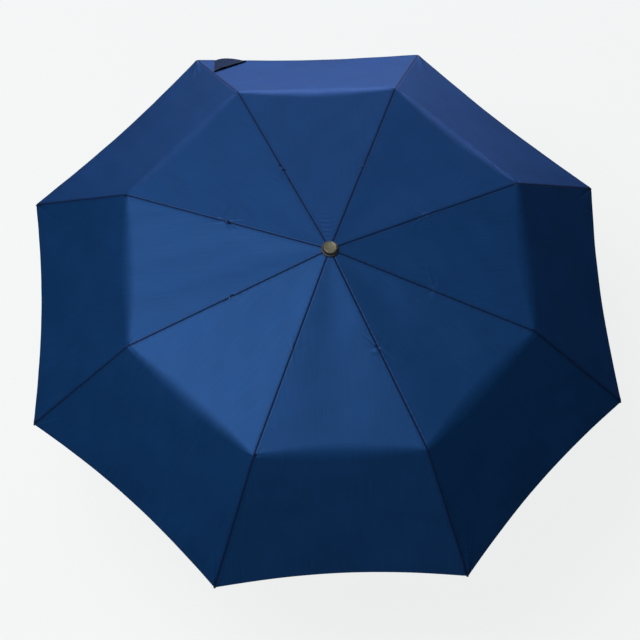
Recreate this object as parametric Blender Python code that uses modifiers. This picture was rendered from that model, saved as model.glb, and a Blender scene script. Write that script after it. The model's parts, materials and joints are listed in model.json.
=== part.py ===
"""Three-fold automatic umbrella, open, standing upright on its handle.

Metres, +Z up. The shaft's axis is Z and the origin is the centre of the handle's flat base.
Eight ribs lie at 22.5 degrees and every 45 degrees on. Each rib's pieces are drawn in a frame of
their own (X out along the rib, Y across it, Z towards the fabric) with the origin on their hinge.
"""
from math import acos, cos, pi, radians, sin, sqrt, tan

import bmesh
import bpy
from mathutils import Matrix, Vector

MM = 0.001

# ---- driving dimensions -------------------------------------------------------------------
RIB_COUNT = 8
RIB_STEP = 2 * pi / RIB_COUNT
FIRST_RIB = RIB_STEP / 2
TOTAL_HEIGHT = 580 * MM
GAP = 0.3 * MM

# canopy profile along a rib
DROOP = radians(8.0)            # slope of the two inner rib sections
OUTER_SLOPE = radians(41.0)     # slope of the outer section
CROWN_PIVOT_R = 10.3 * MM
CROWN_PIVOT_Z = TOTAL_HEIGHT - 11.8 * MM
TOP_RIB_LENGTH = 155 * MM
MIDDLE_RIB_LENGTH = 165 * MM
OUTER_RIB_LENGTH = 215.7 * MM
KNEE_OFFSET = 2.45 * MM         # knee pins sit this far off the ribs' centre lines
FABRIC_OFFSET = 4.1 * MM        # fabric above the ribs' centre lines
FABRIC_OFFSET_TIP = 2.7 * MM
FABRIC_THICKNESS = 0.5 * MM
FABRIC_HOLE_R = 7.5 * MM
HEM_SAG = 14 * MM
SEAM_GAP = 0.35 * MM

# ribs
CHANNEL_HALF = 1.5 * MM         # half height of the pressed channels
CHANNEL_HALF_WIDTH = 1.6 * MM
CHANNEL_WALL = 0.45 * MM
SHEET_STEP = 0.05 * MM          # joined sheets stand proud of each other by this
TAB_HALF = 0.75 * MM            # half thickness of the tabs inside the knee cheeks
CHEEK_REACH = 0.85 * MM         # the cheeks reach this far round the knee pins
PIN_R = 0.45 * MM
PIN_HOLE_R = 0.75 * MM
EYE_R = 1.3 * MM
ROD_R = 1.15 * MM
TIP_R = 2.2 * MM

# stretchers
STRETCHER_ALONG = 80 * MM       # from the crown hinge to the stretcher's pin
STRETCHER_DEPTH = -0.6 * MM     # the pin below the rib's centre line
STRETCHER_LENGTH = 95 * MM
STRETCHER_HALF = 1.0 * MM
STRETCHER_HALF_WIDTH = 0.8 * MM

# shaft: three telescoping tubes
TUBE_WALL = 0.45 * MM
TOP_TUBE_R = 5.0 * MM
MIDDLE_TUBE_R = 4.2 * MM
LOWER_TUBE_R = 3.4 * MM
SLIDE_TRAVEL = 145 * MM
TUBE_OVERLAP = 42 * MM
TOP_TUBE_BOTTOM = 360 * MM
MIDDLE_TUBE_LENGTH = 185 * MM

# handle
HANDLE_TOP = 68 * MM
HANDLE_R = 16 * MM
END_CAP_HEIGHT = 4 * MM
BUTTON_Z = 50 * MM
BUTTON_R = 5 * MM

STRAP_SIZE = (18 * MM, 36 * MM, 0.7 * MM)
CAP_DISC_R = 9.4 * MM
CAP_FLANGE_R = 13.2 * MM
CROWN_R = 12.5 * MM

# ---- worked out from them -----------------------------------------------------------------
def along(slope):
    """Unit vector out along a rib of the given slope, as (radius, height)."""
    return Vector((cos(slope), -sin(slope)))


def across(slope):
    """Unit vector from a rib towards the fabric, as (radius, height)."""
    return Vector((sin(slope), cos(slope)))


CROWN_PIVOT = Vector((CROWN_PIVOT_R, CROWN_PIVOT_Z))
KNEE_1 = CROWN_PIVOT + TOP_RIB_LENGTH * along(DROOP) + KNEE_OFFSET * across(DROOP)
KNEE_2 = KNEE_1 + MIDDLE_RIB_LENGTH * along(DROOP) - 2 * KNEE_OFFSET * across(DROOP)
STRETCHER_PIN = CROWN_PIVOT + STRETCHER_ALONG * along(DROOP) + STRETCHER_DEPTH * across(DROOP)
RUNNER_PIVOT_R = CROWN_PIVOT_R + STRETCHER_DEPTH
STRETCHER_REACH = STRETCHER_PIN.x - RUNNER_PIVOT_R
STRETCHER_DROP = sqrt(STRETCHER_LENGTH ** 2 - STRETCHER_REACH ** 2)
RUNNER_PIVOT_Z = STRETCHER_PIN.y - STRETCHER_DROP
STRETCHER_PITCH = acos(STRETCHER_REACH / STRETCHER_LENGTH)
MIDDLE_TUBE_TOP = TOP_TUBE_BOTTOM + TUBE_OVERLAP
MIDDLE_TUBE_BOTTOM = MIDDLE_TUBE_TOP - MIDDLE_TUBE_LENGTH
LOWER_TUBE_TOP = MIDDLE_TUBE_BOTTOM + TUBE_OVERLAP
LOWER_TUBE_BOTTOM = 18 * MM
TIP = KNEE_2 + KNEE_OFFSET * across(OUTER_SLOPE) + OUTER_RIB_LENGTH * along(OUTER_SLOPE)


# ---- scene set-up -------------------------------------------------------------------------
for old in list(bpy.data.objects):
    bpy.data.objects.remove(old, do_unlink=True)

parts = bpy.data.collections.new("umbrella")
cutters = bpy.data.collections.new("umbrella_cutters")
bpy.context.scene.collection.children.link(parts)
bpy.context.scene.collection.children.link(cutters)


def add_material(name, colour, roughness, metallic=0.0):
    """A plain Principled material."""
    material = bpy.data.materials.new(name)
    material.use_nodes = True
    shader = material.node_tree.nodes["Principled BSDF"]
    shader.inputs["Base Color"].default_value = (*colour, 1.0)
    shader.inputs["Roughness"].default_value = roughness
    shader.inputs["Metallic"].default_value = metallic
    return material


NAVY = add_material("navy_polyester", (0.012, 0.045, 0.15), 0.6)
DARK_NAVY = add_material("dark_navy_webbing", (0.006, 0.02, 0.07), 0.7)
STEEL = add_material("zinc_plated_steel", (0.55, 0.56, 0.58), 0.35, 1.0)
ALUMINIUM = add_material("satin_aluminium", (0.7, 0.71, 0.73), 0.3, 1.0)
GLASS_FIBRE = add_material("black_glass_fibre", (0.02, 0.02, 0.022), 0.45)
BLACK_PLASTIC = add_material("black_plastic", (0.012, 0.012, 0.014), 0.4)
SOFT_BLACK = add_material("soft_touch_black", (0.015, 0.015, 0.018), 0.7)
GREY_PLASTIC = add_material("grey_plastic", (0.2, 0.2, 0.21), 0.4)
GUNMETAL = add_material("gunmetal_disc", (0.14, 0.12, 0.08), 0.35, 0.8)


# ---- modelling helpers --------------------------------------------------------------------
def add_mesh(name, bm, collection=cutters):
    """An object in the given collection from a bmesh, which is freed."""
    mesh = bpy.data.meshes.new(name)
    bmesh.ops.recalc_face_normals(bm, faces=bm.faces)
    bm.to_mesh(mesh)
    bm.free()
    thing = bpy.data.objects.new(name, mesh)
    collection.objects.link(thing)
    thing.hide_render = collection is cutters
    thing.display_type = "WIRE" if collection is cutters else "TEXTURED"
    return thing


def box(name, low, high):
    """A box between two corners."""
    bm = bmesh.new()
    size = Vector(high) - Vector(low)
    middle = (Vector(high) + Vector(low)) / 2
    place = Matrix.Translation(middle) @ Matrix.Diagonal((*size, 1.0))
    bmesh.ops.create_cube(bm, size=1.0, matrix=place)
    return add_mesh(name, bm)


def rod(name, radius, start, end, sides=12, end_radius=None):
    """A cylinder, or a cone when end_radius differs, between two points."""
    bm = bmesh.new()
    run = Vector(end) - Vector(start)
    turn = run.to_track_quat("Z", "Y").to_matrix().to_4x4()
    place = Matrix.Translation((Vector(start) + Vector(end)) / 2) @ turn
    far = radius if end_radius is None else end_radius
    bmesh.ops.create_cone(
        bm, cap_ends=True, segments=sides, radius1=radius, radius2=far,
        depth=run.length, matrix=place,
    )
    return add_mesh(name, bm)


def turned(name, profile, sides=32):
    """A closed (radius, height) outline turned round Z; the outline runs down its outer side."""
    mesh = bpy.data.meshes.new(name)
    count = len(profile)
    edges = [(i, (i + 1) % count) for i in range(count)]
    mesh.from_pydata([(r, 0.0, z) for r, z in profile], edges, [])
    thing = bpy.data.objects.new(name, mesh)
    cutters.objects.link(thing)
    thing.hide_render = True
    thing.display_type = "WIRE"
    screw = thing.modifiers.new("turn", "SCREW")
    screw.steps = sides
    screw.render_steps = sides
    screw.use_merge_vertices = True
    screw.merge_threshold = 0.00001
    return thing


def combine(thing, other, operation):
    """Cut one shape by another, or join them, with an exact Boolean."""
    step = thing.modifiers.new(operation.lower(), "BOOLEAN")
    step.operation = operation
    step.solver = "EXACT"
    step.object = other
    return thing


def finished_mesh(thing, name):
    """The evaluated mesh of a shape, cleaned of doubled points."""
    bpy.context.view_layer.update()
    graph = bpy.context.evaluated_depsgraph_get()
    mesh = bpy.data.meshes.new_from_object(thing.evaluated_get(graph))
    bm = bmesh.new()
    bm.from_mesh(mesh)
    bmesh.ops.remove_doubles(bm, verts=bm.verts, dist=0.000001)
    bm.to_mesh(mesh)
    bm.free()
    mesh.name = name
    return mesh


def place_part(name, mesh, material, location=(0, 0, 0), rotation=(0, 0, 0)):
    """One named sub-part that carries a finished mesh."""
    if not mesh.materials:
        mesh.materials.append(material)
    mesh.shade_smooth()
    mesh.set_sharp_from_angle(angle=radians(35))
    thing = bpy.data.objects.new(name, mesh)
    parts.objects.link(thing)
    thing.location = location
    thing.rotation_euler = rotation
    return thing


def add_part(name, thing, material):
    """Finish a shape that is drawn where it belongs."""
    return place_part(name, finished_mesh(thing, name), material)


def rib_angle(index):
    """Azimuth of rib 1, 2, ..., counted anticlockwise from above."""
    return FIRST_RIB + (index - 1) * RIB_STEP


def place_round(name, mesh, material, point, pitch):
    """Eight copies of a rib piece with their hinges at (radius, height), pitched down from level."""
    for index in range(1, RIB_COUNT + 1):
        turn = rib_angle(index)
        spot = (point.x * cos(turn), point.x * sin(turn), point.y)
        place_part(f"{name}_{index}", mesh, material, spot, (0, pitch, turn))


# ---- shaft --------------------------------------------------------------------------------
def tube(name, radius, bottom, top, material, sides=32):
    """A drawn tube, open at both ends."""
    bore = radius - TUBE_WALL
    outline = [(radius, top), (radius, bottom), (bore, bottom), (bore, top)]
    add_part(name, turned(name + "_wall", outline, sides), material)


def main_spring():
    """The long coil inside the tubes that drives the shaft apart."""
    turns = 24
    steps = 6
    radius = 2.1 * MM
    low = LOWER_TUBE_BOTTOM + 4 * MM
    high = CROWN_PIVOT_Z - 8 * MM
    curve = bpy.data.curves.new("opening_spring", "CURVE")
    curve.dimensions = "3D"
    curve.bevel_depth = 0.4 * MM
    curve.bevel_resolution = 2
    curve.use_fill_caps = True
    line = curve.splines.new("POLY")
    line.points.add(turns * steps)
    for i in range(turns * steps + 1):
        angle = 2 * pi * i / steps
        height = low + (high - low) * i / (turns * steps)
        line.points[i].co = (radius * cos(angle), radius * sin(angle), height, 1.0)
    wire = bpy.data.objects.new("opening_spring_wire", curve)
    cutters.objects.link(wire)
    wire.hide_render = True
    wire.display_type = "WIRE"
    mesh = finished_mesh(wire, "opening_spring")
    bpy.data.objects.remove(wire, do_unlink=True)
    place_part("opening_spring", mesh, STEEL)


# ---- crown, cap and runner ----------------------------------------------------------------
def slotted(thing, inner, outer, low, high, half_width):
    """Cut a radial slot at every rib."""
    for index in range(1, RIB_COUNT + 1):
        slot = box("slot", (inner, -half_width, low), (outer, half_width, high))
        slot.rotation_euler = (0, 0, rib_angle(index))
        combine(thing, slot, "DIFFERENCE")
    return thing


def crown():
    """The notched hub at the top, with the hinge wire across its slots."""
    top = CROWN_PIVOT_Z + 2.2 * MM
    low = CROWN_PIVOT_Z - 4 * MM
    neck = low - 8 * MM
    bore = TOP_TUBE_R + GAP
    outline = [
        (CROWN_R, top), (CROWN_R, low), (6.8 * MM, low), (6.8 * MM, neck), (bore, neck), (bore, top),
    ]
    hub = turned("crown_hub", outline, 48)
    slotted(hub, 7.6 * MM, 20 * MM, low - 1 * MM, top + 1 * MM, 1.2 * MM)
    bpy.ops.mesh.primitive_torus_add(
        major_radius=CROWN_PIVOT_R, minor_radius=0.5 * MM, major_segments=48, minor_segments=8,
        location=(0, 0, CROWN_PIVOT_Z),
    )
    wire = bpy.context.object
    wire.name = "crown_hinge_wire"
    for home in list(wire.users_collection):
        home.objects.unlink(wire)
    cutters.objects.link(wire)
    wire.hide_render = True
    wire.display_type = "WIRE"
    combine(hub, wire, "UNION")
    add_part("crown", hub, BLACK_PLASTIC)


def cap():
    """The dark flange that clamps the fabric and the flat disc on top of it."""
    bottom = CROWN_PIVOT_Z + 5.1 * MM
    lip = bottom + 3.1 * MM
    bore = TOP_TUBE_R + GAP
    flange = [
        (bore, lip), (CAP_DISC_R + 1 * MM, lip), (CAP_FLANGE_R - 0.6 * MM, lip - 0.9 * MM),
        (CAP_FLANGE_R, lip - 1.9 * MM), (CAP_FLANGE_R, bottom), (bore, bottom),
    ]
    add_part("cap_flange", turned("flange_ring", flange, 40), BLACK_PLASTIC)
    low = lip + GAP
    thing = rod("cap_disc", CAP_DISC_R, (0, 0, low), (0, 0, TOTAL_HEIGHT), 48)
    soften = thing.modifiers.new("edge", "BEVEL")
    soften.width = 0.5 * MM
    soften.segments = 2
    add_part("ferrule_cap", thing, GUNMETAL)


def runner():
    """The slider that the stretchers push on; its slots take their ends."""
    wire = RUNNER_PIVOT_Z
    bore = TOP_TUBE_R + GAP
    outline = [
        (CROWN_R, wire + 3 * MM), (CROWN_R, wire - 3 * MM), (7.4 * MM, wire - 3 * MM),
        (7.4 * MM, wire - 16 * MM), (9.6 * MM, wire - 19 * MM), (9.6 * MM, wire - 27 * MM),
        (bore, wire - 27 * MM), (bore, wire + 3 * MM),
    ]
    body = turned("runner_body", outline, 48)
    slotted(body, 7.9 * MM, 20 * MM, wire - 4 * MM, wire + 4 * MM, 1.2 * MM)
    add_part("runner", body, BLACK_PLASTIC)


# ---- rib pieces ---------------------------------------------------------------------------
def channel(name, start, end, centre):
    """A pressed channel open towards the underside."""
    body = box(name, (start, -CHANNEL_HALF_WIDTH, centre - CHANNEL_HALF),
               (end, CHANNEL_HALF_WIDTH, centre + CHANNEL_HALF))
    inner = CHANNEL_HALF_WIDTH - CHANNEL_WALL
    hollow = box(name + "_hollow", (start - 1 * MM, -inner, centre - 2 * CHANNEL_HALF),
                 (end + 1 * MM, inner, centre + CHANNEL_HALF - CHANNEL_WALL))
    return combine(body, hollow, "DIFFERENCE")


def add_cheeks(thing, x, z, centre):
    """Join two cheeks and a pin at (x, z) to a channel whose centre line is at the height centre."""
    inner = CHANNEL_HALF_WIDTH - CHANNEL_WALL
    low = min(z - CHEEK_REACH, centre - CHANNEL_HALF - SHEET_STEP)
    high = max(z + CHEEK_REACH, centre + CHANNEL_HALF + SHEET_STEP)
    for side in (-1, 1):
        near, far = sorted((side * (inner + SHEET_STEP), side * (CHANNEL_HALF_WIDTH + SHEET_STEP)))
        cheek = box("cheek", (x - 5 * MM, near, low), (x + CHEEK_REACH, far, high))
        combine(thing, cheek, "UNION")
    overshoot = CHANNEL_HALF_WIDTH + 0.2 * MM
    pin = rod("pin", PIN_R, (x, -overshoot, z), (x, overshoot, z), 8)
    return combine(thing, pin, "UNION")


def tab(name, low, high, start, hole_r, eye_r, half_width):
    """A flat eye at the origin with a tongue out to X = start, between two heights."""
    eye = rod(name, eye_r, (0, -half_width, 0), (0, half_width, 0), 16)
    thin = half_width - SHEET_STEP
    neck = box(name + "_neck", (eye_r * 0.2, -thin, low), (start, thin, high))
    combine(eye, neck, "UNION")
    hole = rod(name + "_hole", hole_r, (0, -5 * MM, 0), (0, 5 * MM, 0), 12)
    return eye, hole


def top_ribs():
    """Inner section: a channel from the crown's wire to the first knee."""
    start = 5 * MM
    end = TOP_RIB_LENGTH - 3 * MM
    body = channel("top_rib_channel", start, end, 0)
    half = CHANNEL_HALF - 2 * SHEET_STEP
    eye, hole = tab("top_rib_eye", -half, half, start + 2.5 * MM, 0.8 * MM, 1.5 * MM, TAB_HALF)
    plug = box("top_rib_plug", (start - SHEET_STEP, -1.3 * MM, -half), (start + 2 * MM, 1.3 * MM, half))
    combine(body, plug, "UNION")
    combine(body, eye, "UNION")
    combine(body, hole, "DIFFERENCE")
    add_cheeks(body, TOP_RIB_LENGTH, KNEE_OFFSET, 0)
    pin = rod("stretcher_pin", PIN_R, (STRETCHER_ALONG, -1.8 * MM, STRETCHER_DEPTH),
              (STRETCHER_ALONG, 1.8 * MM, STRETCHER_DEPTH), 6)
    combine(body, pin, "UNION")
    place_round("top_rib", finished_mesh(body, "top_rib"), STEEL, CROWN_PIVOT, DROOP)


def middle_ribs():
    """Middle section: its tongue turns in the first knee, its cheeks hold the second."""
    centre = -KNEE_OFFSET
    start = 3.6 * MM
    body = channel("middle_rib_channel", start, MIDDLE_RIB_LENGTH - 3 * MM, centre)
    half = CHANNEL_HALF - 2 * SHEET_STEP
    eye, hole = tab("middle_rib_eye", centre - half + SHEET_STEP, -PIN_HOLE_R - 0.12 * MM,
                    start + 2.5 * MM, PIN_HOLE_R, EYE_R, TAB_HALF)
    plug = box("middle_rib_plug", (start - SHEET_STEP, -1.3 * MM, centre - half),
               (start + 2 * MM, 1.3 * MM, centre + half))
    combine(body, plug, "UNION")
    combine(body, eye, "UNION")
    combine(body, hole, "DIFFERENCE")
    add_cheeks(body, MIDDLE_RIB_LENGTH, -2 * KNEE_OFFSET, centre)
    place_round("middle_rib", finished_mesh(body, "middle_rib"), STEEL, KNEE_1, DROOP)


def outer_ribs():
    """Outer section: a glass-fibre rod with a knee fitting, and a moulded tip."""
    centre = KNEE_OFFSET
    start = 3.6 * MM
    fitting = box("knee_fitting", (start, -1.3 * MM, centre - 1.4 * MM), (16 * MM, 1.3 * MM, centre + 1.4 * MM))
    eye, hole = tab("outer_rib_eye", PIN_HOLE_R + 0.12 * MM, centre + 1.3 * MM,
                    start + 2 * MM, PIN_HOLE_R, EYE_R, TAB_HALF)
    combine(fitting, eye, "UNION")
    combine(fitting, hole, "DIFFERENCE")
    shaft = rod("outer_rod", ROD_R, (start + 1 * MM, 0, centre), (OUTER_RIB_LENGTH, 0, centre), 8)
    combine(fitting, shaft, "UNION")
    place_round("outer_rib", finished_mesh(fitting, "outer_rib"), GLASS_FIBRE, KNEE_2, OUTER_SLOPE)
    back = OUTER_RIB_LENGTH - 7 * MM
    front = OUTER_RIB_LENGTH + 2.5 * MM
    knob = rod("tip_knob", TIP_R, (back, 0, centre), (front, 0, centre), 12)
    soften = knob.modifiers.new("round_end", "BEVEL")
    soften.width = 0.9 * MM
    soften.segments = 1
    socket = rod("tip_socket", ROD_R + GAP, (back - 1 * MM, 0, centre),
                 (OUTER_RIB_LENGTH + GAP, 0, centre), 8)
    combine(knob, socket, "DIFFERENCE")
    place_round("rib_tip", finished_mesh(knob, "rib_tip"), BLACK_PLASTIC, KNEE_2, OUTER_SLOPE)


def stretchers():
    """Struts from the runner's slots to the pins of the top ribs."""
    bar = box("stretcher_bar", (0, -STRETCHER_HALF_WIDTH, -STRETCHER_HALF),
              (STRETCHER_LENGTH + 1 * MM, STRETCHER_HALF_WIDTH, STRETCHER_HALF))
    eye = rod("stretcher_eye", STRETCHER_HALF, (0, -STRETCHER_HALF_WIDTH, 0), (0, STRETCHER_HALF_WIDTH, 0), 12)
    hole = rod("stretcher_hole", 0.7 * MM, (0, -5 * MM, 0), (0, 5 * MM, 0), 8)
    combine(bar, eye, "UNION")
    combine(bar, hole, "DIFFERENCE")
    pitch = pi - STRETCHER_PITCH
    place_round("stretcher", finished_mesh(bar, "stretcher"), STEEL, STRETCHER_PIN, pitch)


# ---- canopy -------------------------------------------------------------------------------
def fabric_line():
    """The fabric's middle surface along a rib, as (radius, height) from the cap to the tip."""
    crown_point = CROWN_PIVOT + FABRIC_OFFSET * across(DROOP)
    start = crown_point + (FABRIC_HOLE_R - crown_point.x) / cos(DROOP) * along(DROOP)
    tip = TIP + FABRIC_OFFSET_TIP * across(OUTER_SLOPE)
    knee = CROWN_PIVOT + (TOP_RIB_LENGTH + MIDDLE_RIB_LENGTH) * along(DROOP) + FABRIC_OFFSET * across(DROOP)
    return [start, start.lerp(knee, 0.5), knee, tip]


def canopy_panels():
    """Eight gores, each flat in its inner part and again beyond the knees, with a hollowed hem."""
    start, _, knee, tip = fabric_line()
    slope_length = (tip - knee).length * sqrt(1 - (sin(RIB_STEP / 2) * cos(OUTER_SLOPE)) ** 2)
    columns = 7
    outer_rows = 2
    for index in range(1, RIB_COUNT + 1):
        right = rib_angle(index)
        left = rib_angle(index + 1)
        bm = bmesh.new()
        rows = []
        for row in range(outer_rows + 2):
            points = []
            for column in range(columns):
                share = column / (columns - 1)
                if row == 0:
                    spot = start
                elif row == 1:
                    spot = knee
                else:
                    hollow = HEM_SAG * 4 * share * (1 - share) / slope_length
                    spot = knee.lerp(tip, (row - 1) / outer_rows * (1 - hollow))
                a = Vector((spot.x * cos(right), spot.x * sin(right), spot.y))
                b = Vector((spot.x * cos(left), spot.x * sin(left), spot.y))
                inset = SEAM_GAP / (b - a).length
                points.append(bm.verts.new(a.lerp(b, inset + share * (1 - 2 * inset))))
            rows.append(points)
        for near, far in zip(rows, rows[1:]):
            for column in range(columns - 1):
                bm.faces.new((near[column], far[column], far[column + 1], near[column + 1]))
        name = f"canopy_panel_{index}"
        sheet = add_mesh(name + "_sheet", bm)
        thick = sheet.modifiers.new("thickness", "SOLIDIFY")
        thick.thickness = FABRIC_THICKNESS
        thick.offset = 0
        add_part(name, sheet, NAVY)


def closure_strap():
    """The rolled closing strap that hangs at the hem beside rib 3."""
    _, _, knee, tip = fabric_line()
    share = 0.15
    turn = rib_angle(3)
    other = rib_angle(2)
    a = Vector((tip.x * cos(turn), tip.x * sin(turn), tip.y))
    b = Vector((tip.x * cos(other), tip.x * sin(other), tip.y))
    spot = a.lerp(b, share)
    hem_turn = (turn + other) / 2
    fall = tan(OUTER_SLOPE) / cos(RIB_STEP / 2)
    bm = bmesh.new()
    size = Matrix.Diagonal((*STRAP_SIZE, 1.0))
    bmesh.ops.create_cube(bm, size=1.0, matrix=size)
    strap = add_mesh("strap_fold", bm)
    pitch = Vector((1, 0, -fall)).normalized()
    out = Vector((cos(hem_turn), sin(hem_turn), 0))
    downhill = Vector((out.x * pitch.x, out.y * pitch.x, pitch.z))
    side = Vector((-sin(hem_turn), cos(hem_turn), 0))
    normal = downhill.cross(side).normalized()
    if normal.z < 0:
        normal.negate()
    turn_to = Matrix((downhill, side, normal)).transposed().to_4x4()
    strap.matrix_world = Matrix.Translation(spot - normal * 1.6 * MM - downhill * 14 * MM) @ turn_to
    mesh = finished_mesh(strap, "closure_strap")
    place = strap.matrix_world.copy()
    thing = place_part("closure_strap", mesh, DARK_NAVY)
    thing.matrix_world = place


# ---- handle -------------------------------------------------------------------------------
def handle():
    """A moulded grip with a pocket for the button, closed below by a flat end cap."""
    base = END_CAP_HEIGHT + GAP
    outer = [
        (HANDLE_R - 4 * MM, HANDLE_TOP), (HANDLE_R - 1 * MM, HANDLE_TOP - 2 * MM),
        (HANDLE_R + 0.5 * MM, HANDLE_TOP - 8 * MM), (HANDLE_R + 0.4 * MM, HANDLE_TOP - 20 * MM),
        (HANDLE_R - 1.6 * MM, HANDLE_TOP - 36 * MM), (HANDLE_R - 1.8 * MM, HANDLE_TOP - 46 * MM),
        (HANDLE_R - 0.8 * MM, base + 6 * MM), (HANDLE_R - 0.8 * MM, base),
    ]
    inner = [(LOWER_TUBE_R + GAP, base), (LOWER_TUBE_R + GAP, HANDLE_TOP)]
    grip = turned("grip_body", outer + inner, 48)
    depth = BUTTON_R + GAP
    pocket = rod("button_pocket", depth, (0, -30 * MM, BUTTON_Z), (0, -8 * MM, BUTTON_Z), 24)
    combine(grip, pocket, "DIFFERENCE")
    add_part("handle_grip", grip, SOFT_BLACK)
    cap_disc = rod("end_cap_disc", HANDLE_R - 1 * MM, (0, 0, 0), (0, 0, END_CAP_HEIGHT), 48)
    soften = cap_disc.modifiers.new("edge", "BEVEL")
    soften.width = 0.8 * MM
    soften.segments = 2
    for side in (-3 * MM, 3 * MM):
        hole = rod("cord_hole", 1.2 * MM, (side, 10 * MM, -1 * MM), (side, 10 * MM, 6 * MM), 12)
        combine(cap_disc, hole, "DIFFERENCE")
    add_part("handle_end_cap", cap_disc, BLACK_PLASTIC)
    front = -(HANDLE_R + 2.2 * MM)
    button = rod("button_body", BUTTON_R, (0, -12 * MM, BUTTON_Z), (0, front, BUTTON_Z), 24)
    dome = button.modifiers.new("edge", "BEVEL")
    dome.width = 0.8 * MM
    dome.segments = 2
    add_part("push_button", button, GREY_PLASTIC)


tube("lower_tube", LOWER_TUBE_R, LOWER_TUBE_BOTTOM, LOWER_TUBE_TOP, ALUMINIUM, 24)
tube("middle_tube", MIDDLE_TUBE_R, MIDDLE_TUBE_BOTTOM, MIDDLE_TUBE_TOP, ALUMINIUM, 24)
tube("top_tube", TOP_TUBE_R, TOP_TUBE_BOTTOM, TOTAL_HEIGHT - 5 * MM, ALUMINIUM, 32)
main_spring()
crown()
cap()
runner()
top_ribs()
middle_ribs()
outer_ribs()
stretchers()
canopy_panels()
closure_strap()
handle()
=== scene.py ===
import json
from math import atan2, cos, hypot, pi, radians, sin, sqrt

import bmesh
import bpy
import numpy as np
from mathutils import Matrix, Vector


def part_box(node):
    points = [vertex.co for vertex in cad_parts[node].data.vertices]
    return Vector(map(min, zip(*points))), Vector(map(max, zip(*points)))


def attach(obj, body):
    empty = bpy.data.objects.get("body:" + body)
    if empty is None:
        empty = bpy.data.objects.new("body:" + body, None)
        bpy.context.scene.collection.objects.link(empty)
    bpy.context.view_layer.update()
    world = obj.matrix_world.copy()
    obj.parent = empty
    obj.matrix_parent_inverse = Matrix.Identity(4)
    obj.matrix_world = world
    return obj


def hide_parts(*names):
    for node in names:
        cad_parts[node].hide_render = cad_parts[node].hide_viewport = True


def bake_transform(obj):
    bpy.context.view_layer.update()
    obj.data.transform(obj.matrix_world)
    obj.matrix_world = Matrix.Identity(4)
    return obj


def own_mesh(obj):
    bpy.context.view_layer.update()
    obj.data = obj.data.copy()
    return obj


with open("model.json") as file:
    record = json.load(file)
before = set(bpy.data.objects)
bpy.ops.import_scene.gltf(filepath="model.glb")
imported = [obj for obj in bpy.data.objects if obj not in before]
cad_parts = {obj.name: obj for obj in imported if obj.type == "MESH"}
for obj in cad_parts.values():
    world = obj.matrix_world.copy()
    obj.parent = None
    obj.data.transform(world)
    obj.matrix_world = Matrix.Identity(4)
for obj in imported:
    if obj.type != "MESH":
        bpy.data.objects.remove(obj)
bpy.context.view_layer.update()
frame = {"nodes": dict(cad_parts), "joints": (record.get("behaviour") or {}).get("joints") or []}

MM = 0.001

# ---- sizes ----------------------------------------------------------------------------------
RIB_COUNT = 8
RIB_STEP = 2 * pi / RIB_COUNT
FIRST_RIB = RIB_STEP / 2
DROOP = radians(8.0)                 # slope of the two inner rib sections
OUTER_SLOPE = radians(41.0)          # slope of the outer section
TOP_RIB_LENGTH = 155 * MM
OUTER_RIB_LENGTH = 215.7 * MM
KNEE_OFFSET = 2.45 * MM              # knee pins off the ribs' centre lines
FABRIC_OFFSET = 4.1 * MM             # cloth above the ribs' centre lines
FABRIC_OFFSET_TIP = 2.7 * MM
FABRIC_HOLE_R = 7.5 * MM
HEM_SAG = 14 * MM
CLOTH = 0.25 * MM                    # the cloth's thickness
HEM_WIDTH = 7 * MM                   # the double-folded hem
MERGE = 0.002 * MM                   # points nearer than this are one point
FILLET_RIB = 5 * MM                  # half length of the knee's curve over a rib
FILLET_MIDDLE = 17 * MM              # and halfway between two ribs

JOINTS = {joint["name"]: joint for joint in frame["joints"]}
GROUND = 0.0


def pivot(name):
    """(radius, height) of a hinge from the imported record."""
    x, y, z = JOINTS[name]["pos_m"]
    return np.array((hypot(x, y), z))


def along(slope):
    """Unit (radius, height) out along a rib of the given slope."""
    return np.array((cos(slope), -sin(slope)))


def across(slope):
    """Unit (radius, height) from a rib towards the cloth."""
    return np.array((sin(slope), cos(slope)))


CROWN_PIVOT = pivot("crown_hinge_1")
KNEE_2 = pivot("outer_knee_1")
CLOTH_LINE = CROWN_PIVOT + FABRIC_OFFSET * across(DROOP)
CLOTH_START = CLOTH_LINE + (FABRIC_HOLE_R - CLOTH_LINE[0]) / cos(DROOP) * along(DROOP)
CLOTH_FIRST = CLOTH_LINE + TOP_RIB_LENGTH * along(DROOP)
CLOTH_KNEE = KNEE_2 + (KNEE_OFFSET + FABRIC_OFFSET) * across(DROOP)
CLOTH_TIP = (KNEE_2 + (KNEE_OFFSET + FABRIC_OFFSET_TIP) * across(OUTER_SLOPE)
             + OUTER_RIB_LENGTH * along(OUTER_SLOPE))
U_FIRST = float(np.linalg.norm(CLOTH_FIRST - CLOTH_START))
U_KNEE = float(np.linalg.norm(CLOTH_KNEE - CLOTH_START))
OUTER_RUN = float(np.linalg.norm(CLOTH_TIP - CLOTH_KNEE))
U_TIP = U_KNEE + OUTER_RUN
OUTER_ALONG = (CLOTH_TIP - CLOTH_KNEE) / OUTER_RUN
CLOTH_SLOPE = atan2(-OUTER_ALONG[1], OUTER_ALONG[0])
BISECTOR = (DROOP + CLOTH_SLOPE) / 2
SLOPE_LENGTH = OUTER_RUN * sqrt(1 - (sin(RIB_STEP / 2) * cos(CLOTH_SLOPE)) ** 2)
NARROWING = 1 - cos(RIB_STEP)


def rib_angle(index):
    """Azimuth of rib 1, 2, ..., counted anticlockwise from above; rib 9 is rib 1 again."""
    return FIRST_RIB + (index - 1) * RIB_STEP


# ---- camera, floor and lights ---------------------------------------------------------------
TILT, LEAN, ROLL = radians(-23.42), radians(3.84), radians(1.97)
LENS = 92.42                         # mm, on a 36 mm sensor
CAP_IN_VIEW = (0.031, 0.219, -4.938)  # the cap from the camera, in canopy radii


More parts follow.
